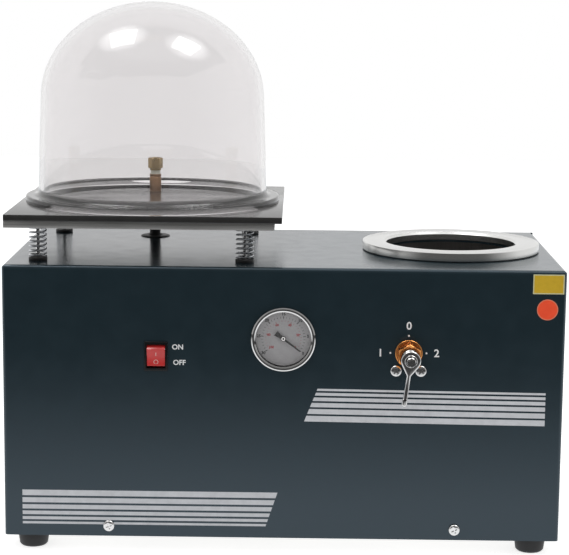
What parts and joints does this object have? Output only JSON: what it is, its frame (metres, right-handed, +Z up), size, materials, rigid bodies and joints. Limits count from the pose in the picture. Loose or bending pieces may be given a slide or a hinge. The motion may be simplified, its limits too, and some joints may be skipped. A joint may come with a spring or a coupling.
{
  "type": "vacuum casting machine",
  "caption": "Bench vacuum investing and casting machine: sprung table with bell jar, flask chamber, gauge, lever valve and enclosed vacuum pump.",
  "frame": {"origin": "on the ground under the middle of the machine's overall width and depth", "axes": "+Z up, +X to the right as seen from the front panel, -Y out of the front panel"},
  "size_m": [0.5706, 0.3358, 0.5557],
  "materials": {
    "casing_paint": "satin",
    "bare_steel": "satin",
    "bright_steel": "polished",
    "spring_steel": "polished",
    "machined_aluminium": "turned",
    "dark_steel": "satin",
    "black_rubber": "matt",
    "mat_rubber": "matt",
    "jar_glass": "clear",
    "lens_glass": "clear",
    "brass": "machined",
    "copper_plate": "plated",
    "white_tape": "matt",
    "black_plastic": "satin",
    "red_plastic": "gloss",
    "dial_paint": "matt",
    "pointer_paint": "matt",
    "motor_paint": "semi-gloss",
    "cast_iron": "cast",
    "winding_copper": "enamelled"
  },
  "bodies": {
    "casing": {"base_pan": "bare_steel", "cover_shell": "casing_paint", "rear_panel": "casing_paint", "rubber_feet": "black_rubber", "case_screws": "bright_steel", "spring_front_left": "spring_steel", "spring_front_right": "spring_steel", "spring_back_left": "spring_steel", "spring_back_right": "spring_steel", "spring_seats": "black_rubber", "hose_grommet": "black_rubber", "table_hose": "black_rubber", "chamber_flange": "machined_aluminium", "chamber_gasket": "black_rubber", "chamber_canister": "dark_steel", "flange_studs": "bright_steel", "flange_nuts": "bright_steel", "hose_barbs": "brass", "valve_body": "brass", "valve_cap": "brass", "valve_vent": "copper_plate", "panel_nut": "copper_plate", "gland_nut": "bright_steel", "valve_bracket": "bare_steel", "gauge_case": "black_plastic", "gauge_bezel": "bright_steel", "gauge_lens": "lens_glass", "gauge_dial": "dial_paint", "gauge_movement": "brass", "gauge_clamp": "bare_steel", "switch_housing": "black_plastic", "pump_base": "dark_steel", "pump_mounts": "black_rubber", "motor_housing": "motor_paint", "motor_stator": "winding_copper", "motor_end_cap": "machined_aluminium", "motor_bearings": "bright_steel", "pump_block": "cast_iron", "oil_case": "motor_paint", "start_capacitor": "machined_aluminium", "pump_tee": "brass", "vacuum_hoses": "black_rubber", "wiring": "black_rubber", "power_inlet": "black_plastic"},
    "table": {"table_plate": "bare_steel", "table_mat": "mat_rubber", "spring_studs": "bright_steel", "stud_nuts": "bright_steel", "nozzle_pipe": "brass", "nozzle_head": "brass", "nozzle_tape": "white_tape"},
    "jar": {"bell_jar": "jar_glass"},
    "lever": {"valve_plug": "bright_steel", "valve_lever": "bright_steel", "lever_nut": "bright_steel"},
    "rocker": {"switch_rocker": "red_plastic"},
    "needle": {"gauge_pointer": "pointer_paint"},
    "rotor": {"motor_rotor": "bare_steel", "motor_fan": "black_plastic", "vane_rotor": "cast_iron"}
  },
  "joints": [
    {"name": "table_bounce", "type": "slide", "parent": "casing", "child": "table", "axis": [0, 0, 1], "range_m": [-0.008, 0], "stiffness_N_per_m": 15000, "springref_m": 0.007, "deforming": ["spring_front_left", "spring_front_right", "spring_back_left", "spring_back_right", "table_hose"]},
    {"name": "jar_lift", "type": "slide", "parent": "table", "child": "jar", "axis": [0, 0, 1], "range_m": [0, 0.12]},
    {"name": "lever_turn", "type": "hinge", "parent": "casing", "child": "lever", "pos_m": [0.126, -0.0954, 0.211], "axis": [0, -1, 0], "continuous": true},
    {"name": "switch_rock", "type": "hinge", "parent": "casing", "child": "rocker", "pos_m": [-0.1278, -0.1119, 0.205], "axis": [-1, 0, 0], "range_deg": [0, 20]},
    {"name": "gauge_needle", "type": "hinge", "parent": "casing", "child": "needle", "pos_m": [0, -0.1179, 0.2245], "axis": [0, -1, 0], "range_deg": [0, 254], "stiffness_Nm_per_rad": 0.0005, "springref_deg": -11.46},
    {"name": "pump_spin", "type": "hinge", "parent": "casing", "child": "rotor", "pos_m": [-0.15, 0.0341, 0.115], "axis": [1, 0, 0], "continuous": true}
  ]
}
